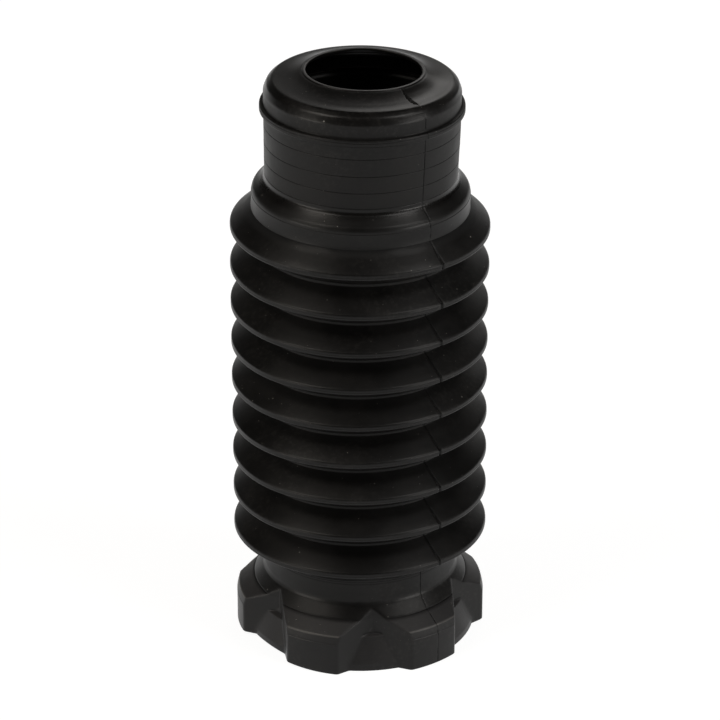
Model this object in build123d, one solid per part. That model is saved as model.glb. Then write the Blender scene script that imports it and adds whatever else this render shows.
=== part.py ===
"""Rubber bellows boot for a strut damper rod, moulded in one piece.

The boot is a body of revolution about Z with one wall thickness all over: a crowned cap with
the rod opening, a retaining bead, a plain neck, a shouldered collar, nine folds, a lower neck
and a castellated collar, whose six hollow lugs stand on the plane Z = 0. The notches between
the lugs are vees in plan, with a ramped skirt behind them that carries on round the bore.
Outlines are drawn as (radius, height) and turned about Z. Sizes are millimetres and degrees.
"""
from build123d import *
import math
import os

# ---- wall ----
wall = 1.8

# ---- cap, bead and neck ----
opening_radius = 19.2
cap_radius = 33.0
cap_slope = 18.5
cap_shoulder_radius = 5.0
cap_side_height = 3.2
bead_radius = 34.3
bead_height = 3.8
bead_bevel_height = 0.9
bead_round = 0.9
neck_radius = 32.7
neck_height = 23.0

# ---- collar above the folds ----
collar_radius = 36.8
collar_side_height = 6.8
collar_slope = 45.0
collar_shoulder_radius = 4.5
collar_root_radius = 2.5
collar_flank_rise = 5.7

# ---- folds ----
fold_count = 9
fold_pitch = 14.0
crest_radius = 44.0
crest_land = 1.6
valley_radius = 35.2
valley_land = 1.0

# ---- lower neck and flare ----
lower_neck_radius = 33.4
lower_neck_height = 9.0
flare_width = 3.8
flare_height = 4.6

# ---- castellated collar ----
lug_count = 6
lug_radius = 43.5
lug_side_height = 11.9
lug_bevel_width = 0.9
lug_bevel_height = 2.7
lug_roof_slope = 35.84
lug_corner_radius = 2.4
notch_root_depth = 1.3
notch_half_angle = 63.0
skirt_recess = 3.5
skirt_foot_height = 2.6
skirt_ledge_width = 2.0
skirt_ledge_height = 11.9
skirt_ledge_rise = 3.4

# ---- radii, heights and slopes that follow from the sizes above ----
notch_root_radius = lower_neck_radius + notch_root_depth
lug_edge_height = lug_side_height + lug_bevel_height
flare_radius = lower_neck_radius + flare_width
lug_roof_width = lug_radius - lug_bevel_width - flare_radius
flare_foot = lug_edge_height + lug_roof_width * math.tan(math.radians(lug_roof_slope))
lower_neck_foot = flare_foot + flare_height
lower_neck_top = lower_neck_foot + lower_neck_height
fold_slope = (fold_pitch - crest_land - valley_land) / 2 / (crest_radius - valley_radius)
collar_flank_slope = collar_flank_rise / (crest_radius - collar_radius)
lowest_crest = lower_neck_top + fold_slope * (crest_radius - lower_neck_radius) + crest_land / 2
highest_crest = lowest_crest + (fold_count - 1) * fold_pitch
collar_foot = highest_crest + crest_land / 2 + collar_flank_rise
collar_edge = collar_foot + collar_side_height
neck_foot = collar_edge + (collar_radius - neck_radius) * math.tan(math.radians(collar_slope))
bead_foot = neck_foot + neck_height
cap_foot = bead_foot + bead_height
cap_edge = cap_foot + cap_side_height + cap_shoulder_radius * math.tan(math.radians(45 - cap_slope / 2))
slack = 4 * wall


def cap_height(radius):
    """Height of the cap's cone at a radius."""
    return cap_edge + (cap_radius - radius) * math.tan(math.radians(cap_slope))


def fold_tips():
    """The sharp zigzag whose flanks the folds lie on, from the top down."""
    tips = []
    for index in range(fold_count):
        crest = highest_crest - index * fold_pitch
        slope_above = fold_slope if index else collar_flank_slope
        reach = crest_land / (slope_above + fold_slope)
        tips.append((crest_radius + reach, crest + crest_land / 2 - slope_above * reach, 0))
        if index < fold_count - 1:
            tips.append((valley_radius - valley_land / 2 / fold_slope, crest - fold_pitch / 2, 0))
    return tips


def face_inside(corners, inset):
    """Face inside a clockwise outline, or inside its parallel at an inset.

    A corner is (x, y, round). A positive round is the radius of a corner that stands out, which
    shrinks as it goes inwards, and a negative one that of a hollow corner, which grows. Where two
    rounds would overrun the side between them, both shrink until they fit it.
    """
    points = [Vector(x, y) for x, y, _ in corners]
    sides = [(after - point).normalized() for point, after in zip(points, points[1:] + points[:1])]
    turns = [1 + sides[index - 1].dot(side) for index, side in enumerate(sides)]
    inner_points = [
        point + (sides[index - 1] + sides[index]).rotate(Axis.Z, -90) * (inset / turns[index])
        for index, point in enumerate(points)]
    rounds = [max(size - inset, 0) if size >= 0 else inset - size for _, _, size in corners]
    reaches = [size * math.sqrt(max(2 - turn, 0) / turn) for size, turn in zip(rounds, turns)]
    shares = []
    for index, point in enumerate(inner_points):
        after = (index + 1) % len(corners)
        length = (inner_points[after] - point).length
        shares.append(min(1, 0.95 * length / max(reaches[index] + reaches[after], 0.001)))
    inner_rounds = [size * min(shares[index - 1], shares[index]) for index, size in enumerate(rounds)]
    return make_face(FilletPolyline(*inner_points, radius=inner_rounds, close=True))


def boot_section(inset):
    """Half section inside the boot's skin, or inside its parallel at an inset."""
    corners = [
        (-slack, cap_height(-slack), 0),
        (cap_radius, cap_edge, cap_shoulder_radius),
        (cap_radius, cap_foot, 0),
        (bead_radius, cap_foot - bead_bevel_height, bead_round),
        (bead_radius, bead_foot + bead_bevel_height, bead_round),
        (neck_radius, bead_foot, 0),
        (neck_radius, neck_foot, -collar_root_radius),
        (collar_radius, collar_edge, collar_shoulder_radius),
        (collar_radius, collar_foot, 0),
        *fold_tips(),
        (lower_neck_radius, lower_neck_top, 0),
        (lower_neck_radius, skirt_ledge_height + skirt_ledge_rise, 0),
        (notch_root_radius + skirt_ledge_width, skirt_ledge_height, 0),
        (lug_radius - skirt_recess, skirt_foot_height, 0),
        (lug_radius - skirt_recess, -slack, 0),
        (-slack, -slack, 0),
    ]
    crest_stop = Pos(Y=-slack) * Rectangle(crest_radius - inset, 2 * cap_edge, align=(Align.MIN, Align.MIN))
    valley_fill = Pos(Y=lowest_crest) * Rectangle(
        valley_radius - inset, highest_crest - lowest_crest, align=(Align.MIN, Align.MIN))
    return (face_inside(corners, inset) & crest_stop) + valley_fill


def lug_section(inset):
    """Half section inside the skin of the flare and the lugs, or inside its parallel at an inset."""
    corners = [
        (-slack, lower_neck_top, 0),
        (lower_neck_radius, lower_neck_top, 0),
        (lower_neck_radius, lower_neck_foot, 0),
        (flare_radius, flare_foot, 0),
        (lug_radius - lug_bevel_width, lug_edge_height, 0),
        (lug_radius, lug_side_height, 0),
        (lug_radius, -slack, 0),
        (-slack, -slack, 0),
    ]
    return face_inside(corners, inset)


def lug_plan(inset):
    """Plan of the castellated collar, a disc with a vee notch between each two lugs, or its parallel."""
    half_pitch = math.pi / lug_count
    half_angle = math.radians(notch_half_angle)
    root_radius = notch_root_radius - inset / math.sin(half_angle)
    tip_radius = root_radius * math.sin(half_angle) / math.sin(half_angle - half_pitch)
    corners = []
    for index in range(lug_count):
        notch = -math.pi / 2 + 2 * index * half_pitch
        lug = notch + half_pitch
        corners += [
            (root_radius * math.cos(notch), root_radius * math.sin(notch)),
            (tip_radius * math.cos(lug), tip_radius * math.sin(lug))]
    rim_radius = lug_radius - inset
    plan = make_face(Polyline(*corners, close=True)) & Circle(rim_radius)
    lug_corners = plan.vertices().filter_by(lambda corner: corner.center().length > rim_radius - 0.01)
    return fillet(lug_corners, max(lug_corner_radius - inset, 0.1))


def skin(inset):
    """Solid inside the boot's skin above the floor, or inside the skin's parallel at an inset."""
    above_floor = Rectangle(2 * crest_radius, 2 * cap_edge, align=(Align.MIN, Align.MIN))
    boot = revolve(Plane.XZ * (boot_section(inset) & above_floor), Axis.Z)
    lugs = revolve(Plane.XZ * (lug_section(inset) & above_floor), Axis.Z)
    return boot + (lugs & extrude(lug_plan(inset), lower_neck_top))


opening = extrude(Circle(opening_radius), cap_height(0))
bellows_boot = skin(0) - skin(wall) - opening

os.makedirs("parts", exist_ok=True)
export_step(bellows_boot, "parts/bellows_boot.step")
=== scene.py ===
"""Looks for the rubber bellows boot: its skin, its black rubber and a plain pale stage.

The boot is one closed skin, worked out with numpy as rings of points. A ring is a radius and a
height carried round the axis, and the rings follow the section from the rod opening down the
outside, round the lugs' rim and back up the inside.

The panel's sizes are metres and radians. The functions that work out the skin use millimetres,
and place_rings turns its points into metres. Angles round the boot start in the middle of the
front notch and grow to the right.
"""
import bpy
import numpy as np
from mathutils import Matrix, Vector


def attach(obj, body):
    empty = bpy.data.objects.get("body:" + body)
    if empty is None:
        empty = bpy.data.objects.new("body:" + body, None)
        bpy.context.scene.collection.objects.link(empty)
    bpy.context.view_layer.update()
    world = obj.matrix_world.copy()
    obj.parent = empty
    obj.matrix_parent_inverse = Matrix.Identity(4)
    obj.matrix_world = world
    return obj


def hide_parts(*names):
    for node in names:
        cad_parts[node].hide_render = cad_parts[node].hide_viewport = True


bl_info = {
    "name": "Rubber Bellows Boot",
    "version": (1, 0, 0),
    "blender": (4, 5, 0),
    "location": "3D View > Sidebar > Bellows Boot",
    "description": "Builds a moulded rubber bellows boot and a plain stage for it",
    "category": "Add Mesh",
}

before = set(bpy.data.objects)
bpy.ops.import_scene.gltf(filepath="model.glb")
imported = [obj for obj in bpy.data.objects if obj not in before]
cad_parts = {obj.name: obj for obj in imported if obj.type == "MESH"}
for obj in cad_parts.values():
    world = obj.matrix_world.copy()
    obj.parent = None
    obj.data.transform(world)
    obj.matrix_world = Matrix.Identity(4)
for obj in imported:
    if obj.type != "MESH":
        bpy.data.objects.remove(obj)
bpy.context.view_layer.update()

MM = 0.001
COLUMNS = 148          # points round a ring of the folds
FINE = 3               # times as many round a ring of the castellated collar

# Sizes that several functions share, in mm.
TOP_CREST = 151.74     # height of the uppermost crest
FOLD_RISE = 6.15       # height of the flank above a crest
TOP_RISE = 5.75        # the same above the uppermost crest
LOWER_NECK = 33.4      # radius of the neck below the folds
NOTCH_ROOT = 34.7      # radius of the notches' roots
BEVEL_FOOT = 11.9      # height where a lug's upright side ends and its bevel starts
ROOF_TOP = 18.45       # height where a lug's roof meets the flare
COLLAR_TOP = 26.4      # height of the collar's first ring, below the folds' last
CAP_FOOT = 201.0       # height above which the skin is the cap's
REACH = 43.95          # the furthest that a point may lie from the axis
FAR = 9.0              # a distance past every mark of the parting line
WAVINESS = 0.04        # how far the skin waves in and out

# Heights of the castellated collar's rings, in mm: on the outside from the top down, as bands of
# highest, lowest and number of rings, closest at the edges and creases, and inside from below.
COLLAR_BANDS = (
    (COLLAR_TOP, 23.6, 4), (23.2, 21.7, 7), (21.0, 19.0, 5), (18.7, 18.2, 5), (17.7, 15.5, 5),
    (15.2, 14.1, 7), (13.9, 12.5, 6), (12.25, 11.45, 7), (10.8, 3.6, 11), (3.0, 2.2, 4),
    (1.4, 0.7, 2), (0.25, 0.25, 1),
)
HOLLOW_HEIGHTS = (0.25, 2.5, 6.5, 10.2, 11.6, 12.6, 13.6, 14.8, 16.2, 17.8, 20.0, 22.6, 25.6)

# Seeds of the random numbers.
WAVE_SEED, TEAR_SEED, TEAR_TONE_SEED = 4, 8, 9

# Heights between which the rubber's roughness changes, in metres, and what it is multiplied by
# from there upwards: the lower neck and the neck are matt, the fillet under the neck is glossy
# and the cap is smooth.
SHEEN_CHANGES = (
    (0.0235, 0.0250, 1.25),
    (0.0345, 0.0365, 0.80),
    (0.1668, 0.1682, 0.62),
    (0.1700, 0.1715, 2.02),
    (0.1990, 0.2015, 0.60),
)

# Soft boxes: name, degrees to the right of the camera's side, lowest and highest elevation and
# width in degrees, brightness and colour.
WARM, PLAIN = (1.0, 0.94, 0.86), (1.0, 0.975, 0.945)
SOFT_BOXES = (
    ("left_strip", -60, 1, 12, 30, 8.5, WARM),
    ("left_panel", -64, 28, 38, 24, 3.2, WARM),
    ("left_box", -62, 42, 58, 28, 6.2, WARM),
    ("left_top_box", -80, 55, 70, 50, 0.35, WARM),
    ("right_strip", 60, 1, 12, 30, 10.0, PLAIN),
    ("right_panel", 64, 28, 38, 24, 5.0, PLAIN),
    ("right_box", 62, 42, 58, 28, 5.6, PLAIN),
    ("front_box", 0, 54, 66, 70, 0.45, PLAIN),
    ("back_drop", 169, 23, 44, 20, 2.5, PLAIN),
    ("back_box", -170, 23, 44, 20, 0.4, PLAIN),
    ("back_strip", 180, 1, 12, 60, 0.3, PLAIN),
    ("back_right_box", 152, 14, 30, 14, 0.9, PLAIN),
)


# ---------------------------------------------------------------- sizes and colours

class BootSizes(bpy.types.PropertyGroup):
    """Sizes of the boot's skin."""
    wall: bpy.props.FloatProperty(
        name="Wall", description="Thickness of the rubber", default=1.8 * MM, unit="LENGTH")
    opening_radius: bpy.props.FloatProperty(
        name="Rod opening", description="Radius of the opening in the cap",
        default=19.2 * MM, unit="LENGTH")
    lip_round: bpy.props.FloatProperty(
        name="Lip round", description="Rounding of the opening's upper edge",
        default=0.22 * MM, unit="LENGTH")
    bead_radius: bpy.props.FloatProperty(
        name="Bead", description="Radius of the retaining bead",
        default=34.3 * MM, unit="LENGTH")
    neck_radius: bpy.props.FloatProperty(
        name="Neck", description="Radius of the neck at its middle",
        default=32.7 * MM, unit="LENGTH")
    collar_radius: bpy.props.FloatProperty(
        name="Shoulder collar", description="Radius of the collar above the folds",
        default=36.8 * MM, unit="LENGTH")
    crest_radius: bpy.props.FloatProperty(
        name="Crests", description="Radius of the folds' crests",
        default=43.87 * MM, unit="LENGTH")
    valley_radius: bpy.props.FloatProperty(
        name="Valleys", description="Radius between the folds",
        default=35.2 * MM, unit="LENGTH")
    fold_count: bpy.props.IntProperty(
        name="Folds", description="Number of folds", default=9, min=1)
    fold_pitch: bpy.props.FloatProperty(
        name="Fold pitch", description="Height from crest to crest",
        default=14.1 * MM, unit="LENGTH")
    lug_radius: bpy.props.FloatProperty(
        name="Lugs", description="Radius of the lugs of the lower collar",
        default=43.4 * MM, unit="LENGTH")
    lug_count: bpy.props.IntProperty(
        name="Lug count", description="Number of lugs and of notches", default=6, min=3)
    notch_half_angle: bpy.props.FloatProperty(
        name="Notch half angle", description="Half the angle of a notch in plan",
        default=np.radians(63.0), subtype="ANGLE")
    groove_depth: bpy.props.FloatProperty(
        name="Mould line depth", description="Depth of the rings that the mould leaves",
        default=0.16 * MM, unit="LENGTH")
    parting_angle: bpy.props.FloatProperty(
        name="Parting line", description="Angle of the mould's parting line from the front notch",
        default=np.radians(31.5), subtype="ANGLE")
    parting_depth: bpy.props.FloatProperty(
        name="Parting line depth", description="Depth of the mould's parting line",
        default=0.22 * MM, unit="LENGTH")
    slump: bpy.props.FloatProperty(
        name="Slump", description="How far the soft rings have shifted and tipped",
        default=1.0, min=0.0, max=1.2)
    slump_turn: bpy.props.FloatProperty(
        name="Slump direction", description="Angle of the slump's own front from the front notch",
        default=np.radians(-7.0), subtype="ANGLE")


class RubberFinish(bpy.types.PropertyGroup):
    """Colours and sheen of the rubber."""
    black: bpy.props.FloatVectorProperty(
        name="Rubber", description="Colour of clean rubber", subtype="COLOR", size=3,
        default=(0.0028, 0.0026, 0.0024), min=0.0, max=1.0)
    bloom: bpy.props.FloatVectorProperty(
        name="Bloom", description="Colour of the greyish haze on the rubber",
        subtype="COLOR", size=3, default=(0.0120, 0.0112, 0.0104), min=0.0, max=1.0)
    # Painted shade: this colour darkens the creases, grooves, mould lines, valleys and the parting
    # line's band. It also darkens the torn place.
    shading_and_tear: bpy.props.FloatVectorProperty(
        name="Shade", description="Colour of the creases and mould lines",
        subtype="COLOR", size=3, default=(0.0008, 0.0008, 0.0008), min=0.0, max=1.0)
    # Painted light: the lugs are painted paler with this colour, most where they look up.
    painted_light: bpy.props.FloatVectorProperty(
        name="Lug_light", description="Colour of the dust film on the lugs",
        subtype="COLOR", size=3, default=(0.036, 0.035, 0.0355), min=0.0, max=1.0)
    # This colour is also the painted highlight on the lugs' edge, and the torn place's pale flecks.
    dust: bpy.props.FloatVectorProperty(
        name="Dust_and_highlight", description="Colour of the dust specks and of rubbed edges",
        subtype="COLOR", size=3, default=(0.16, 0.152, 0.14), min=0.0, max=1.0)
    roughness: bpy.props.FloatProperty(
        name="Roughness", description="Roughness of clean rubber on the folds",
        default=0.41, min=0.0, max=1.0)


class StageLooks(bpy.types.PropertyGroup):
    """Floor, lights and camera."""
    floor_colour: bpy.props.FloatVectorProperty(
        name="Floor", description="Colour of the floor", subtype="COLOR", size=3,
        default=(0.16, 0.157, 0.152), min=0.0, max=1.0)
    camera_distance: bpy.props.FloatProperty(
        name="Camera distance", description="From the point that the camera looks at",
        default=1.3042, unit="LENGTH")
    camera_elevation: bpy.props.FloatProperty(
        name="Camera elevation", description="Above the floor",
        default=np.radians(26.35), subtype="ANGLE")
    camera_turn: bpy.props.FloatProperty(
        name="Camera turn", description="Away from the middle of the front notch",
        default=np.radians(-7.0), subtype="ANGLE")
    aim_height: bpy.props.FloatProperty(
        name="Aim height", description="Height of the point that the camera looks at",
        default=0.1, unit="LENGTH")
    light_distance: bpy.props.FloatProperty(
        name="Light distance", description="From the same point to the soft boxes",
        default=3.0, unit="LENGTH")
    light_strength: bpy.props.FloatProperty(
        name="Light strength", description="All soft boxes together", default=1.0, min=0.0)
    floor_glow: bpy.props.FloatProperty(
        name="Floor glow", description="Light that the floor gives by itself",
        default=0.92, min=0.0)
    lens: bpy.props.FloatProperty(
        name="Lens", description="Focal length", default=190.38, unit="CAMERA")


# ---------------------------------------------------------------- sections

def rounded(corners):
    """Points along an outline whose corners are rounded.

    corners is a table of radius, height, round, number of points and painted shade. Each corner is
    an
    arc that touches both of its sides: it starts round * tan(turn / 2) before the corner, and turns
    about a centre that lies one round to the inside of the turn. Returns the points, the direction
    that faces out of the rubber at each of them, and how much shade is painted there.
    """
    table = np.asarray([(*corner, 0)[:5] for corner in corners], float)
    place, size, count = table[:, :2], table[:, 2], table[:, 3].astype(int)
    side = np.diff(place, axis=0)
    side /= np.linalg.norm(side, axis=1)[:, None]
    before = np.vstack([side[:1], side])
    after = np.vstack([side, side[-1:]])
    cross = before[:, 0] * after[:, 1] - before[:, 1] * after[:, 0]
    turn = np.arctan2(cross, (before * after).sum(1))
    start = place - before * (size * np.tan(np.abs(turn) / 2))[:, None]
    normal = np.column_stack([-before[:, 1], before[:, 0]]) * np.sign(turn)[:, None]
    centre = start + normal * size[:, None]
    which = np.repeat(np.arange(len(table)), count)
    step = np.arange(len(which)) - np.repeat(np.cumsum(count) - count, count)
    share = np.where(count[which] > 1, step / np.maximum(count[which] - 1, 1), 0.5)
    angle = turn[which] * share
    cos, sin = np.cos(angle), np.sin(angle)
    arm, way = start[which] - centre[which], before[which]
    points = centre[which] + np.column_stack([arm[:, 0] * cos - arm[:, 1] * sin,
                                              arm[:, 0] * sin + arm[:, 1] * cos])
    way = np.column_stack([way[:, 0] * cos - way[:, 1] * sin, way[:, 0] * sin + way[:, 1] * cos])
    return points, np.column_stack([-way[:, 1], way[:, 0]]), table[which, 4]


def mould_ring(radius, height, depth, half=0.15):
    """Corners of the fine vee ring that a joint of the mould leaves in an upright wall."""
    # The vee's bottom corner gets full painted shade.
    return [(radius, height + half + 0.14, 0.02, 1), (radius, height + half, 0.02, 1),
            (radius - depth, height, 0.02, 1, 1.0),
            (radius, height - half, 0.02, 1), (radius, height - half - 0.14, 0.02, 1)]


def crest_heights(sizes):
    """Heights of the crests from the top down, one pitch apart, in mm."""
    return TOP_CREST - sizes.fold_pitch / MM * np.arange(sizes.fold_count)


def outer_section(sizes):
    """Outside section from the lip of the rod opening down to the lower neck, in mm.

    The cap is dished: it falls by 0.50 x - 0.0219 x^2 at x outside the lip's foot. A fold has a
    land at its crest, with a fine mould ring, and its flanks are straight. A corner's fifth number
    is painted shade: in the crevice above the bead, the mould lines and rings, the collar's creases
    and the valleys.
    """
    opening, bead = sizes.opening_radius / MM, sizes.bead_radius / MM
    neck, collar = sizes.neck_radius / MM, sizes.collar_radius / MM
    crest, valley = sizes.crest_radius / MM, sizes.valley_radius / MM
    mark = sizes.groove_depth / MM
    lip = 206.92
    corners = [
        (opening + 0.12, lip - 0.75, 0.05, 1),
        (opening, lip, sizes.lip_round / MM, 4),
        (opening + 1.15, lip, 0.3, 3),
        (opening + 1.35, lip - 0.33, 0.15, 2),
    ]
    lip_foot = 20.5
    for x in np.linspace(0.45, 8.4, 25):
        corners.append((lip_foot + x, 206.74 - 0.50 * x + 0.0219 * x * x, 0.5, 1))
    corners += [
        (30.3, 203.88, 2.2, 7),
        (32.0, 202.5, 2.6, 6),
        (33.0, 200.0, 2.6, 5),
        (33.0, 196.4, 0.3, 1),
        (33.0, 195.48, 0.10, 2, 0.6),
        (bead - 0.06, 195.42, 0.42, 4),
        (bead, 194.72, 0.02, 1),
        (bead, 194.6, 0.02, 1),
        (bead - 0.15, 194.48, 0.02, 1, 0.8),
        (bead, 194.36, 0.02, 1),
        (bead, 194.2, 0.02, 1),
        (bead, 193.25, 0.35, 4),
        (neck + 0.22, 192.6, 0.3, 3),
    ]
    for height, wide in ((188.3, 0.16), (182.2, 0.04), (176.3, -0.12), (170.8, -0.25)):
        corners += [(neck + wide + 0.05, height + 2.6, 0.3, 1),
                    *mould_ring(neck + wide, height, mark)]
    corners += [
        (neck - 0.28, 169.0, 2.2, 6),
        (collar - 0.05, 165.2, 3.1, 9),
        (collar - 0.02, 163.75, 0.02, 1),
        (collar - 0.02, 163.62, 0.02, 1, 0.7),
        (collar + 0.1, 163.5, 0.05, 2),
        (collar + 0.04, 163.2, 0.1, 1),
        (collar + 0.04, 161.0, 0.5, 1),
        (collar + 0.06, 158.95, 0.1, 1),
        (collar + 0.16, 158.62, 0.12, 3),
        (collar + 0.1, 158.30, 0.05, 2, 0.8),
    ]
    low, high = valley + 0.3 * (crest - valley), valley + 0.66 * (crest - valley)
    fall = 5.13
    for index, height in enumerate(crest_heights(sizes)):
        top, foot = height + 0.85, height - 0.95
        if index:
            corners += [(valley, top + FOLD_RISE + 1.0, 0.3, 3),
                        (valley, top + FOLD_RISE, 0.3, 3, 0.3),
                        (low, top + 0.7 * FOLD_RISE, 0.5, 1),
                        (high, top + 0.34 * FOLD_RISE, 0.5, 1)]
        else:
            corners += [(39.5, top + 0.625 * TOP_RISE, 0.5, 1),
                        (41.6, top + 0.33 * TOP_RISE, 0.5, 1)]
        corners += [(crest, top, 1.25, 5),
                    (crest, height + 0.02, 0.02, 1),
                    (crest, height - 0.08, 0.02, 1),
                    (crest - 0.07, height - 0.18, 0.02, 1, 0.5),
                    (crest, height - 0.28, 0.02, 1),
                    (crest, foot, 0.62, 4)]
        if index < sizes.fold_count - 1:
            corners += [(high, foot - 0.34 * fall, 0.5, 1), (low, foot - 0.7 * fall, 0.5, 1)]
    corners += [
        (40.4, 36.0, 0.5, 1),
        (36.9, 33.9, 0.5, 1),
        (33.45, 31.75, 0.6, 3),
        *mould_ring(33.42, 31.0, 0.07, 0.12),
        *mould_ring(33.42, 30.2, 0.07, 0.12),
        (LOWER_NECK, 28.6, 0.5, 1),
        (LOWER_NECK, 27.0, 0.5, 1),
    ]
    return rounded(corners)


def inner_section(sizes):
    """Inside section from the lower neck up to the rod opening, one wall inside the outside, in mm.

    The inner parallel of a flank lies wall * sqrt(1 + slope^2) below it, measured upright, and a
    fold's inner tip is where the parallels of its two flanks meet.
    """
    wall = sizes.wall / MM
    crest, valley = sizes.crest_radius / MM, sizes.valley_radius / MM
    half_land, fall = 0.9, 5.2
    up, down = FOLD_RISE / (crest - valley), fall / (crest - valley)
    spread_up, spread_down = wall * np.hypot(1, up), wall * np.hypot(1, down)
    corners = [(LOWER_NECK - wall, 27.0, 0.5, 1), (LOWER_NECK - wall, 33.0, 1.5, 3)]
    heights = crest_heights(sizes)[::-1]
    for index, height in enumerate(heights):
        last = index == len(heights) - 1
        up_here = TOP_RISE / (crest - 36.85) if last else up
        reach = (spread_down + wall * np.hypot(1, up_here) - 2 * half_land) / (up_here + down)
        corners += [(crest - reach, height - half_land - down * reach + spread_down, 0.7, 3)]
        if last:
            break
        foot = height + half_land + up * (crest - valley + wall) - spread_up
        head = foot + 1.0 + spread_up + spread_down - wall * (up + down)
        corners += [(valley - wall, foot, 1.4, 2), (valley - wall, head, 1.4, 2)]
    corners += [
        (35.05, 157.7, 1.2, 3),
        (35.05, 164.2, 2.4, 4),
        (30.9, 168.4, 4.2, 4),
        (30.9, 180.0, 0.5, 1),
        (30.9, 191.9, 0.5, 1),
        (30.9, 192.9, 0.5, 2),
        (31.65, 194.15, 0.5, 3),
        (32.45, 194.3, 0.1, 1),
        (32.45, 194.8, 0.3, 2),
        (31.2, 195.6, 0.4, 3),
        (31.2, 200.6, 2.2, 4),
        (28.9, 202.3, 1.5, 2),
        (25.0, 203.2, 0.5, 1),
        (20.5, 205.0, 0.3, 2),
        (sizes.opening_radius / MM + 0.18, 206.0, 0.05, 1),
    ]
    return rounded(corners)


def table_curve(height, corners):
    """Radius at a height, along an outline with rounded corners that only rises."""
    points = rounded(corners)[0]
    return np.interp(height, points[:, 1], points[:, 0])


def soft_min(a, b, size):
    """The lesser of two, with a fillet: less by size / 4 where they are equal."""
    near = np.clip(1 - np.abs(a - b) / size, 0, 1)
    return np.minimum(a, b) - near ** 2 * size / 4


def collar_radii(sizes, turn, height, inset):
    """Radius of the castellated collar's skin at an angle and a height, or of its parallel, in mm.

    It is the greater of the skirt's section and of the lugs, which are the lesser of the lugs'
    section and of the plan. In plan a notch is a vee: root * sin(half) / sin(half - angle).
    Also gives how far the lugs' own section is the skin, from 0 to 1.
    """
    half, rim = sizes.notch_half_angle, sizes.lug_radius / MM
    pitch = 2 * np.pi / sizes.lug_count
    angle = np.abs((turn + pitch / 2) % pitch - pitch / 2)
    root_in = NOTCH_ROOT - inset / np.sin(half)
    vee = root_in * np.sin(half) / np.sin(half - angle)
    plan = soft_min(vee, rim - inset + 0 * angle, 0.8 if inset == 0 else 0.35)
    lower = -inset * 0.42
    lugs = table_curve(height, [
        (rim - inset, -1.0, 0.1, 1),
        (rim - inset, 11.65 + lower * 0.3, 0.3, 3),
        (rim - 0.15 - inset, BEVEL_FOOT + lower * 0.3, 0.2, 3),
        (rim - 0.8 - inset * 0.95, 14.6 + lower * 0.9, 0.75, 7),
        (37.2 - inset * 0.62, ROOF_TOP - inset * 0.79, 0.15, 3),
        (34.0 - inset, 22.5 - inset * 0.3, 0.9, 6),
        (LOWER_NECK - inset, 24.0, 0.3, 3),
        (LOWER_NECK - inset, 28.0, 0.1, 1)])
    skirt = table_curve(height, [
        (40.0 - inset, -1.0, 0.1, 1),
        (40.0 - inset, 2.6 - inset * 0.12, 0.3, 4),
        (36.9 - inset * 0.9, 11.8 - inset * 0.4, 0.2, 4),
        (35.6 - inset * 0.8, 12.3 - inset * 0.4, 0.15, 2),
        (34.9 - inset * 0.8, 13.95 - inset * 0.6, 0.2, 3),
        (LOWER_NECK - inset, 15.3 - inset * 0.6, 0.3, 3),
        (LOWER_NECK - inset, 28.0, 0.1, 1)])
    lug_part = soft_min(plan, lugs + 0 * plan, 0.5)
    on_lug = np.clip((plan - lugs) / 0.4, 0, 1)
    return -soft_min(-lug_part, -skirt, 0.25), on_lug


def collar_skin(sizes, turn, height):
    """Outside radius of the castellated collar's rings, in mm, and the shading painted on them.

    Bell-shaped creases are cut where a lug's roof meets the flare and where its bevel starts.
    Painted shade darkens them and the skirt's ledge between the lugs. A painted highlight, which
    is shading below 0, makes the edge between a lug's bevel and its roof pale.
    """
    radius, on_lug = collar_radii(sizes, turn, height, 0.0)
    # Painted shade in the creases, which are also cut into the skin.
    crease = (np.exp(-((height - ROOF_TOP) / 0.14) ** 2)
              + 0.9 * np.exp(-((height - BEVEL_FOOT) / 0.16) ** 2)) * on_lug
    radius = radius - 0.13 * crease
    # Painted shade on the skirt's ledge between the lugs.
    ledge = 0.7 * np.exp(-((height - 12.55) / 0.35) ** 2) * (radius < 36.6)
    # A painted highlight on the edge between a lug's bevel and its roof.
    painted_highlight = np.exp(-((height - 14.55) / 0.3) ** 2) * on_lug
    return radius, np.maximum(crease, ledge) - painted_highlight


# ---------------------------------------------------------------- marks and slump

def waves(turn, height, seed):
    """Slow unevenness between -1 and 1: the mean of six sine waves round and along the boot."""
    rng = np.random.default_rng(seed)
    count, total = 6, 0
    for _ in range(count):
        total = total + np.sin(
            rng.integers(1, 7) * turn + rng.uniform(0.02, 0.16) * height + rng.uniform(0, 6.3))
    return total / count


def across_parting(sizes, turn, radius):
    """Distance along the skin to the nearer parting line, in mm."""
    apart = (turn - sizes.parting_angle + np.pi / 2) % np.pi - np.pi / 2
    return np.abs(apart) * radius


def parting_depth(sizes, turn, radius, height):
    """How far the parting line sinks into the skin, in mm: a narrow vee across the line.

    Its depth changes along the line, and it is gone on the cap. It is wider and deeper on the
    folds, where a ragged nick runs up to each crest from both sides. At the back the nicks are
    faint.
    """
    across = across_parting(sizes, turn, radius)
    along = 0.7 + 0.3 * np.sin(2.1 * height) * np.sin(0.83 * height + 1.0)
    folds = np.clip((157 - height) / 3, 0, 1) * np.clip((height - 34) / 2, 0, 1)
    below_cap = np.clip(CAP_FOOT - height, 0, 1)
    vee = (np.clip(1 - across / (0.22 + 0.16 * folds), 0, 1)
           * (along * (1 + 0.6 * folds) * below_cap))
    front = np.where(np.cos(turn - sizes.parting_angle) > 0, 1.0, 0.3)
    crests = front * folds * np.clip(radius - 41.2, 0, 1) * np.clip(44.5 - radius, 0, 1)
    ragged = 0.75 + 0.25 * np.sin(5.1 * height + 9.0 * across)
    nicks = np.clip(1 - across / 0.55, 0, 1) * (crests * 3.2 * ragged)
    return (vee + nicks) * (sizes.parting_depth / MM)


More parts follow.
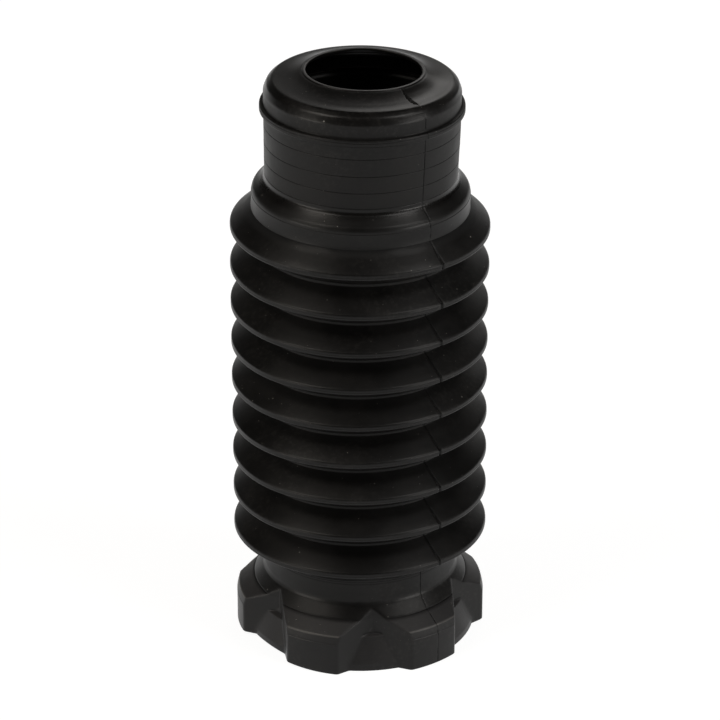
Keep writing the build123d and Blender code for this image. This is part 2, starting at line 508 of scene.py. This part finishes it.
def tear(sizes, turn, radius, height):
    """The torn place on the cap beside the parting line, from 0 on whole rubber to 1 inside it.

    It is a spindle from the lip outwards: its middle and half its width are tables by radius.
    """
    side = ((turn - sizes.parting_angle + np.pi) % (2 * np.pi) - np.pi) * radius
    middle = np.interp(radius, (20.3, 22.8, 25.3, 27.1, 29.0), (0.05, -0.55, -0.9, -0.8, -0.55))
    half = np.interp(radius, (20.2, 20.6, 22.8, 25.3, 27.2, 28.4, 29.1),
                     (0.0, 0.3, 0.65, 1.1, 1.2, 0.8, 0.0))
    inside = np.clip(1.3 * (1 - np.abs(side - middle) / np.maximum(half, 0.01)), 0, 1)
    return inside * (height > 203) * (half > 0)


def flaws(sizes, turn, radius, height):
    """How far the cap's flaws stand out of the skin, in mm: a tear, a nick and two dents.

    The tear is ragged from point to point, and the nick is in the lip. A dent is a hollow with a
    bell-shaped section: depth exp(-radius^2 / 2 - angle^4) for the broad one, and the same with
    angle^2 for the small one.
    """
    torn = tear(sizes, turn, radius, height)
    ragged = np.random.default_rng(TEAR_SEED).uniform(-0.35, 1.05, torn.shape)
    away = np.degrees(turn - sizes.slump_turn)
    nick = (0.45 * np.clip(1.6 - np.abs(away + 72) / 4.0, 0, 1)
            * np.clip((21.6 - radius) / 0.5, 0, 1))
    dents = (0.50 * np.exp(-((radius - 25.3) / 2.2) ** 2 / 2 - ((away - 34) / 42) ** 4)
             + 0.12 * np.exp(-((radius - 22.5) / 0.8) ** 2 / 2 - ((away - 52) / 14) ** 2))
    return -(torn * ragged + (nick + dents) * (height > CAP_FOOT))


def slumped(sizes, x, y, height):
    """Moves points as the soft boot has slumped: its rings are a little shifted and tipped.

    Each ring is moved to the right and lifted, and is tipped so that its front and its right go
    up by so much at a crest, all read from tables by height. The front of the opening is pinched
    in by up to 1.4, and the left of the rim curls up by up to 1.5. No point is left further from
    the axis than REACH. x is to the right and y to the back, in mm.
    """
    amount = sizes.slump
    drift = amount * np.interp(
        height, (25, 95, 124, 152, 160, 175, 186, 194, 199, 203, 207),
        (0, -0.3, -0.26, 0.03, 0.22, 0.46, 0.72, 0.76, 0.8, 0.97, 1.24))
    lift = amount * np.interp(
        height, (25, 39, 53, 67, 81, 95, 109, 123, 137, 152),
        (0, 0.1, 0.35, 0.33, 0.07, 0.33, 0.0, -0.02, -0.1, 0.05))
    front_up = amount * np.interp(
        height, (0, 25, 39, 82, 96, 110, 124, 138, 152, 165, 185, 195, 203, 207),
        (0, 0.25, 0.7, 0.7, 0.3, 0.2, -0.35, -0.65, -0.3, 0, 0.3, 0.45, 0.4, 0.3))
    right_up = amount * np.interp(
        height, (0, 25, 39, 67, 82, 96, 110, 124, 138, 152, 195, 203, 207),
        (0, 0.1, 0.25, 0.3, 0.6, 0.36, 0.1, -0.2, -0.38, -0.5, -0.46, -0.6, -0.8))
    cos, sin = np.cos(sizes.slump_turn), np.sin(sizes.slump_turn)
    to_right, to_front = x * cos + y * sin, x * sin - y * cos
    around = np.degrees(np.arctan2(to_right, to_front))
    radius = np.hypot(x, y)
    pinch = (amount * 1.4 * np.clip((26 - radius) / 5.5, 0, 1)
             * np.clip(to_front / radius, 0, 1) ** 2)
    curl = 1.5 * (amount * np.exp(-((around + 55) / 24) ** 2) * np.clip(1 - height / 13, 0, 1))
    height = height + curl + lift + (front_up * to_front + right_up * to_right) / 44
    x, y = x * (1 - pinch / radius) + drift * cos, y * (1 - pinch / radius) + drift * sin
    inside = np.minimum(1, REACH / np.hypot(x, y))
    return x * inside, y * inside, height


# ---------------------------------------------------------------- skin

def column_angles(sizes, fine):
    """Angles of a ring's points, closer together where the skin has narrow marks.

    The area under a density curve is the same between any two neighbours. The density is one,
    with bumps h exp(-((angle - middle) / width)^4) at both parting lines and, on the finer rings,
    at the lugs' corners and the notches' roots. The front line's bump takes in the torn place
    beside it, and is lower on the finer rings. The first point is on the front parting line, and
    one is on the back one.
    """
    line = np.degrees(sizes.parting_angle)
    pitch = 360.0 / sizes.lug_count
    corner = np.degrees(sizes.notch_half_angle - np.arcsin(
        NOTCH_ROOT * np.sin(sizes.notch_half_angle) / (sizes.lug_radius / MM)))
    grid = line + np.linspace(0, 360, 14401)

    def bump(middle, width, high, every=360.0):
        away = (grid - middle + every / 2) % every - every / 2
        return high * np.exp(-(away / width) ** 4)

    density = 1 + bump(line - 1.2, 4.6, 7.0) + bump(line + 180, 0.9, 6.0)
    if fine > 1:
        density += (bump(corner, 1.5, 2.4, pitch) + bump(-corner, 1.5, 2.4, pitch)
                    + bump(0, 1.2, 1.0, pitch) - bump(line - 1.2, 4.6, 4.5))
    area = np.cumsum(density) - density[0]
    count = COLUMNS * fine
    angles = np.interp(np.arange(count) * area[-1] / count, area, grid)
    angles[np.argmin(np.abs(angles - line - 180))] = line + 180
    return np.radians(angles)


def place_rings(sizes, radius, height, turn, out=None):
    """Points of rings: their section carried round the axis, with the marks and the slump.

    x = radius sin(angle) and y = -radius cos(angle). out is the direction out of the rubber, as
    a radius and a height. Rings without one have no marks.
    """
    if out is not None:
        shift = (WAVINESS * waves(turn, height, WAVE_SEED)
                 - parting_depth(sizes, turn, radius, height)
                 + flaws(sizes, turn, radius, height))
        radius, height = radius + out[0] * shift, height + out[1] * shift
    moved = slumped(sizes, radius * np.sin(turn), -radius * np.cos(turn), height + 0 * turn)
    return np.stack(np.broadcast_arrays(*moved), -1) * MM


def quads(first, rings, count):
    """Faces between neighbouring rings that are stored one after the other from a first point."""
    ring, column = np.meshgrid(np.arange(rings - 1), np.arange(count), indexing="ij")
    here, beside = first + ring * count + column, first + ring * count + (column + 1) % count
    return np.stack([here, here + count, beside + count, beside], -1).reshape(-1, 4)


def skin_faces(outside, collar, inside):
    """Faces of a skin of so many outside rings, finer collar rings and inside rings.

    Returns the four-sided faces, which also close the lip, and the faces with more sides, which
    join the collar's first and last ring to their coarser neighbours.
    """
    fine = COLUMNS * FINE
    first_collar = outside * COLUMNS
    first_inside = first_collar + collar * fine
    last_outside, last_collar = first_collar - COLUMNS, first_inside - fine
    last_inside = first_inside + (inside - 1) * COLUMNS
    column = np.arange(COLUMNS)
    beside = (column + 1) % COLUMNS
    steps = [column * FINE + step for step in range(FINE)] + [beside * FINE]
    lip = np.stack([last_inside + column, column, beside, last_inside + beside], -1)
    outer_join = np.stack([last_outside + column, *[first_collar + step for step in steps],
                           last_outside + beside], -1)
    inner_join = np.stack([*[last_collar + step for step in steps[::-1]],
                           first_inside + column, first_inside + beside], -1)
    fours = np.concatenate([
        quads(0, outside, COLUMNS), quads(first_collar, collar, fine),
        quads(first_inside, inside, COLUMNS), lip])
    return fours, np.concatenate([outer_join, inner_join])


def skin_mesh(sizes):
    """The whole skin as one closed mesh of rings, finer round the castellated collar.

    Returns the points, the four-sided faces and those with more sides, and for each point its
    distance across the parting line in mm and the shading painted on it: 1 is the darkest painted
    shade, and below 0 a painted highlight makes the rubber pale. The torn place is darkened too.
    """
    turn, turn_fine = column_angles(sizes, 1)[None], column_angles(sizes, FINE)[None]
    turn_shared = np.interp(np.arange(COLUMNS * FINE) / FINE, np.arange(COLUMNS + 1),
                            np.append(turn, turn[0, 0] + 2 * np.pi))[None]

    def gathered(height):
        """Angles at a height: those of the folds' rings at the top, the finer ones below."""
        return turn_shared + (turn_fine - turn_shared) * np.clip((COLLAR_TOP - height) / 4, 0, 1)

    outer, outer_way, outer_shade = outer_section(sizes)
    inner, _, inner_shade = inner_section(sizes)
    outside = place_rings(sizes, outer[:, :1], outer[:, 1:], turn,
                          (outer_way[:, :1], outer_way[:, 1:]))
    inside = place_rings(sizes, inner[:, :1], inner[:, 1:], turn)
    down = np.concatenate([np.linspace(*band) for band in COLLAR_BANDS])[:, None]
    shell, shell_shading = collar_skin(sizes, gathered(down), down)
    ground = np.zeros((1, 1))
    rim = np.concatenate([collar_radii(sizes, turn_fine, ground, 0.0)[0] - 0.25,
                          collar_radii(sizes, turn_fine, ground, sizes.wall / MM)[0] + 0.2])
    up = np.array(HOLLOW_HEIGHTS)[:, None]
    hollow = collar_radii(sizes, gathered(up), up, sizes.wall / MM)[0]
    collar = np.concatenate([
        place_rings(sizes, shell, down, gathered(down), (1.0, 0.0)),
        place_rings(sizes, rim, ground, turn_fine),
        place_rings(sizes, hollow, up, gathered(up))])
    points = np.concatenate([rings.reshape(-1, 3) for rings in (outside, collar, inside)])

    across = np.concatenate([
        (across_parting(sizes, turn, outer[:, :1]) + FAR * (outer[:, 1:] > CAP_FOOT)).ravel(),
        across_parting(sizes, gathered(down), shell).ravel(),
        np.full(rim.size + hollow.size + len(inner) * COLUMNS, FAR)])
    # The torn place is darkened by random amounts, and flecked pale where they fall below 0.
    torn = tear(sizes, turn, outer[:, :1], outer[:, 1:])
    torn = torn * np.random.default_rng(TEAR_TONE_SEED).uniform(-0.3, 1.5, torn.shape)
    shading_and_tear = np.concatenate([
        np.maximum(outer_shade[:, None], torn).ravel(), shell_shading.ravel(),
        np.zeros(rim.size + hollow.size), np.repeat(inner_shade, COLUMNS)])
    return points, *skin_faces(len(outside), len(collar), len(inside)), across, shading_and_tear


def new_piece(name, points, fours, manies, material):
    """A mesh object at the origin from points, four-sided faces and faces with more sides."""
    mesh = bpy.data.meshes.new(name)
    corners = np.concatenate([fours.ravel(), manies.ravel()])
    totals = np.repeat((4, manies.shape[1]), (len(fours), len(manies)))
    mesh.vertices.add(len(points))
    mesh.vertices.foreach_set("co", points.astype(np.float32).ravel())
    mesh.loops.add(len(corners))
    mesh.loops.foreach_set("vertex_index", corners.astype(np.int32))
    mesh.polygons.add(len(totals))
    mesh.polygons.foreach_set("loop_start", (np.cumsum(totals) - totals).astype(np.int32))
    mesh.polygons.foreach_set("use_smooth", np.ones(len(totals), bool))
    mesh.update(calc_edges=True)
    mesh.validate()
    mesh.materials.append(material)
    piece = bpy.data.objects.new(name, mesh)
    bpy.context.scene.collection.objects.link(piece)
    return piece


# ---------------------------------------------------------------- materials

class Nodes:
    """Adds shader nodes to a tree. All but add and feed give an output of the node they add."""

    def __init__(self, tree):
        self.tree = tree
        self.place = self.add("ShaderNodeTexCoord").outputs["Object"]

    def add(self, kind, inputs=None, **settings):
        """A node with its settings, and with what its inputs are fed."""
        node = self.tree.nodes.new(kind)
        for name, value in settings.items():
            setattr(node, name, value)
        for name, value in (inputs or {}).items():
            self.feed(node.inputs[name], value)
        return node

    def feed(self, socket, value):
        """Links an output to an input, or sets the input to a plain value."""
        if isinstance(value, bpy.types.NodeSocket):
            self.tree.links.new(value, socket)
        else:
            socket.default_value = value

    def attribute(self, name):
        """A value that is stored on the points."""
        return self.add("ShaderNodeAttribute", attribute_name=name).outputs["Fac"]

    def noise(self, scale, detail, rough=0.6, place=None):
        """Noise with so many cells to the metre."""
        return self.add("ShaderNodeTexNoise", {
            "Scale": scale, "Detail": detail, "Roughness": rough,
            "Vector": self.place if place is None else place}).outputs["Fac"]

    def ramp(self, value, low, high, start=0.0, end=1.0):
        """A smooth change from start to end as a value goes from low to high."""
        return self.add("ShaderNodeMapRange", {
            "Value": value, "From Min": low, "From Max": high, "To Min": start, "To Max": end},
            interpolation_type="SMOOTHSTEP").outputs["Result"]

    def combine(self, operation, first, second):
        """Two values put together. A sum is kept between 0 and 1."""
        node = self.add("ShaderNodeMath", operation=operation, use_clamp=operation == "ADD")
        self.feed(node.inputs[0], first)
        self.feed(node.inputs[1], second)
        return node.outputs[0]

    def times(self, first, second):
        """The product of two values."""
        return self.combine("MULTIPLY", first, second)

    def blend(self, factor, below, above):
        """A colour or an output, covered by a colour as far as a factor says."""
        if not isinstance(below, bpy.types.NodeSocket):
            below = (*below, 1)
        return self.add("ShaderNodeMix", {"Factor": factor, "A": below, "B": (*above, 1)},
                        data_type="RGBA").outputs["Result"]

    def specks(self, cell, share, radius):
        """Round specks, one in some of the cells of a Voronoi pattern: cell and radius in mm."""
        cells = self.add("ShaderNodeTexVoronoi", {"Scale": 1000.0 / cell, "Vector": self.place})
        draw = self.add("ShaderNodeSeparateColor", {"Color": cells.outputs["Color"]}).outputs
        size = self.ramp(draw["Green"], 0.0, 1.0, 0.5 * radius / cell, radius / cell)
        return self.times(self.combine("LESS_THAN", cells.outputs["Distance"], size),
                          self.combine("LESS_THAN", draw["Red"], share))


def rubber_material(finish):
    """Satin black rubber with a patchy bloom, painted shade, painted light and a painted highlight,
    and dust.

    The colour is the clean rubber, hazed by patches and a fine mottle. Painted light makes the
    lugs paler, mostly on what looks up. Painted shade from the shading_and_tear attribute lies in
    the creases, grooves, mould lines and valleys, and in a narrow, broken band on either side of
    the parting line; the attribute also darkens the torn place. Where it is below 0, a painted
    highlight makes the lugs' edge pale, and the tear is flecked pale. Specks of dust lie on top of
    all, on the faces that look up. Places with painted shade, the torn place and dust are rougher,
    and the sheen changes with height as SHEEN_CHANGES says, under a thin clear coat.
    The skin's fine relief is a grain and level lines, which are noise drawn out round the boot.
    """
    material = bpy.data.materials.new("rubber")
    material.use_nodes = True
    nodes = Nodes(material.node_tree)
    shader = material.node_tree.nodes["Principled BSDF"].inputs
    height = nodes.add("ShaderNodeSeparateXYZ", {"Vector": nodes.place}).outputs["Z"]
    normal = nodes.add("ShaderNodeNewGeometry").outputs["Normal"]
    upward = nodes.add("ShaderNodeSeparateXYZ", {"Vector": normal}).outputs["Z"]

    # Painted shade: a narrow, broken band along the parting line's groove.
    parting_shade = nodes.times(nodes.ramp(nodes.attribute("across"), 0.08, 0.28, 1.0, 0.0),
                       nodes.ramp(nodes.noise(420.0, 3.0), 0.38, 0.54, 0.1, 1.0))
    # dark is the painted shade, together with the torn place's darkening.
    dark = nodes.combine("MAXIMUM", nodes.attribute("shading_and_tear"), parting_shade)
    specks = nodes.combine("ADD", nodes.specks(3.1, 0.08, 0.30), nodes.specks(1.3, 0.09, 0.16))
    settled = nodes.ramp(nodes.noise(38.0, 3.0), 0.40, 0.62, 0.2, 1.0)
    dust = nodes.times(nodes.times(specks, nodes.ramp(upward, -0.2, 0.4)), settled)

    patches = nodes.noise(55.0, 6.0)
    mottle = nodes.times(nodes.ramp(nodes.noise(640.0, 3.0, 0.7), 0.48, 0.66, 0.0, 0.6),
                         nodes.ramp(nodes.noise(24.0, 2.0), 0.46, 0.62, 0.12, 1.0))
    haze = nodes.combine("ADD", nodes.times(nodes.ramp(patches, 0.40, 0.70), 0.3), mottle)
    # Painted light on the lugs, most on the faces that look up.
    painted_light = nodes.times(nodes.ramp(height, 0.0176, 0.0188, 1.0, 0.0),
                       nodes.ramp(upward, 0.0, 0.7, 0.15, 1.0))
    # Painted highlight where the shading attribute is below 0, on the edge between a lug's bevel
    # and its roof; the torn place's pale flecks come from here too.
    painted_highlight = nodes.ramp(nodes.attribute("shading_and_tear"), -0.9, -0.1, 0.2, 0.0)
    colour = finish.black
    for factor, cover in ((haze, finish.bloom), (nodes.times(painted_light, 0.6), finish.painted_light),
                          (dark, finish.shading_and_tear), (painted_highlight, finish.dust), (dust, finish.dust)):
        colour = nodes.blend(factor, colour, cover)
    nodes.feed(shader["Base Color"], colour)

    rough = nodes.combine(
        "ADD", nodes.ramp(patches, 0.3, 0.7, finish.roughness - 0.04, finish.roughness + 0.07),
        nodes.times(nodes.combine("MAXIMUM", dark, dust), 0.5))
    for low, high, change in SHEEN_CHANGES:
        rough = nodes.times(rough, nodes.ramp(height, low, high, 1.0, change))
    nodes.feed(shader["Roughness"], rough)

    grain = nodes.noise(2400.0, 3.0)
    level = nodes.add("ShaderNodeMapping", {"Vector": nodes.place, "Scale": (0.012, 0.012, 1.0)})
    lines = nodes.noise(1500.0, 4.0, 0.7, level.outputs["Vector"])
    relief = nodes.combine("ADD", nodes.times(grain, 0.6), nodes.times(lines, 0.4))
    bump = nodes.add("ShaderNodeBump", {"Height": relief, "Strength": 0.4, "Distance": 0.00007})
    nodes.feed(shader["Normal"], bump.outputs["Normal"])
    shader["Specular IOR Level"].default_value = 0.145
    shader["Coat Weight"].default_value = 0.07
    shader["Coat Roughness"].default_value = 0.22
    return material


def floor_material(looks):
    """A pale floor, slightly bright by itself, as a lit table is."""
    material = bpy.data.materials.new("floor")
    material.use_nodes = True
    shader = material.node_tree.nodes["Principled BSDF"].inputs
    shader["Base Color"].default_value = (*looks.floor_colour, 1)
    shader["Roughness"].default_value = 0.9
    shader["Emission Color"].default_value = (1, 1, 1, 1)
    shader["Emission Strength"].default_value = looks.floor_glow
    return material


# ---------------------------------------------------------------- lights and camera

def stand(thing, looks, distance, turn, up):
    """Puts a camera or a light at a distance from the aim point and turns its -Z axis towards it.

    turn is the angle round the boot and up the elevation, both in radians.
    """
    place = (distance * np.sin(turn) * np.cos(up), -distance * np.cos(turn) * np.cos(up),
             looks.aim_height + distance * np.sin(up))
    way = Vector((0, 0, looks.aim_height)) - Vector(place)
    thing.location = place
    thing.rotation_euler = way.to_track_quat("-Z", "Y").to_euler()
    bpy.context.scene.collection.objects.link(thing)


def soft_box(looks, name, around, low, high, wide, brightness, colour):
    """A soft box that is seen from the boot between two elevations, with angles in degrees.

    It stands at an angle to the right of the camera's side and faces the boot from the light
    distance. Its width and height are twice the distance times tan(half its angle), and its power
    is pi * brightness * area.
    """
    reach = looks.light_distance
    lamp = bpy.data.lights.new(name, "AREA")
    lamp.shape = "RECTANGLE"
    width = 2 * reach * np.tan(np.radians(wide / 2))
    height = 2 * reach * np.tan(np.radians((high - low) / 2))
    lamp.size, lamp.size_y = width, height
    lamp.energy = np.pi * brightness * looks.light_strength * width * height
    lamp.color = colour
    stand(bpy.data.objects.new(name, lamp), looks, reach,
          np.radians(around) + looks.camera_turn, np.radians((low + high) / 2))


# ---------------------------------------------------------------- operators and panel

class OBJECT_OT_bellows_boot(bpy.types.Operator):
    """Build the moulded rubber boot"""
    bl_idname = "object.bellows_boot"
    bl_label = "Bellows Boot"

    def execute(self, context):
        scene = context.scene
        points, fours, manies, across, shading_and_tear = skin_mesh(scene.boot_sizes)
        boot = new_piece("boot", points, fours, manies, rubber_material(scene.rubber_finish))
        for name, values in (("across", across), ("shading_and_tear", shading_and_tear)):
            layer = boot.data.attributes.new(name, "FLOAT", "POINT")
            layer.data.foreach_set("value", values.astype(np.float32))
        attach(boot, "root")
        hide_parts("bellows_boot")
        return {"FINISHED"}


class SCENE_OT_boot_stage(bpy.types.Operator):
    """Set up the floor, the lights and the camera"""
    bl_idname = "scene.boot_stage"
    bl_label = "Stage"

    def execute(self, context):
        scene = context.scene
        looks = scene.stage_looks
        floor = new_piece(
            "floor", np.array([(-4, -4, 0), (4, -4, 0), (4, 4, 0), (-4, 4, 0)], float),
            np.array([[0, 1, 2, 3]]), np.zeros((0, 6), int), floor_material(looks))
        world = bpy.data.worlds.new("studio")
        world.use_nodes = True
        background = world.node_tree.nodes["Background"].inputs
        background["Color"].default_value = (1, 1, 1, 1)
        background["Strength"].default_value = 0.02
        scene.world = world
        for box in SOFT_BOXES:
            soft_box(looks, *box)
        camera = bpy.data.objects.new("camera", bpy.data.cameras.new("camera"))
        camera.data.lens = looks.lens
        camera.data.sensor_width = 36
        camera.data.clip_end = 20
        stand(camera, looks, looks.camera_distance, looks.camera_turn, looks.camera_elevation)
        scene.camera = camera
        scene.view_settings.view_transform = "Standard"
        return {"FINISHED"}


class VIEW3D_PT_bellows_boot(bpy.types.Panel):
    """Sizes, colours and steps of the bellows boot"""
    bl_label = "Bellows Boot"
    bl_idname = "VIEW3D_PT_bellows_boot"
    bl_space_type = "VIEW_3D"
    bl_region_type = "UI"
    bl_category = "Bellows Boot"

    def draw(self, context):
        for group, step in (("boot_sizes", "object.bellows_boot"), ("rubber_finish", None),
                            ("stage_looks", "scene.boot_stage")):
            box = self.layout.box()
            settings = getattr(context.scene, group)
            for name in settings.__annotations__:
                box.prop(settings, name)
            if step:
                box.operator(step)


classes = (BootSizes, RubberFinish, StageLooks, OBJECT_OT_bellows_boot, SCENE_OT_boot_stage,
           VIEW3D_PT_bellows_boot)


def register():
    for each in classes:
        bpy.utils.register_class(each)
    bpy.types.Scene.boot_sizes = bpy.props.PointerProperty(type=BootSizes)
    bpy.types.Scene.rubber_finish = bpy.props.PointerProperty(type=RubberFinish)
    bpy.types.Scene.stage_looks = bpy.props.PointerProperty(type=StageLooks)


def unregister():
    del bpy.types.Scene.stage_looks, bpy.types.Scene.rubber_finish, bpy.types.Scene.boot_sizes
    for each in reversed(classes):
        bpy.utils.unregister_class(each)


def main():
    """Builds everything."""
    register()
    bpy.ops.object.bellows_boot()
    bpy.ops.scene.boot_stage()


if __name__ == "__main__":
    main()
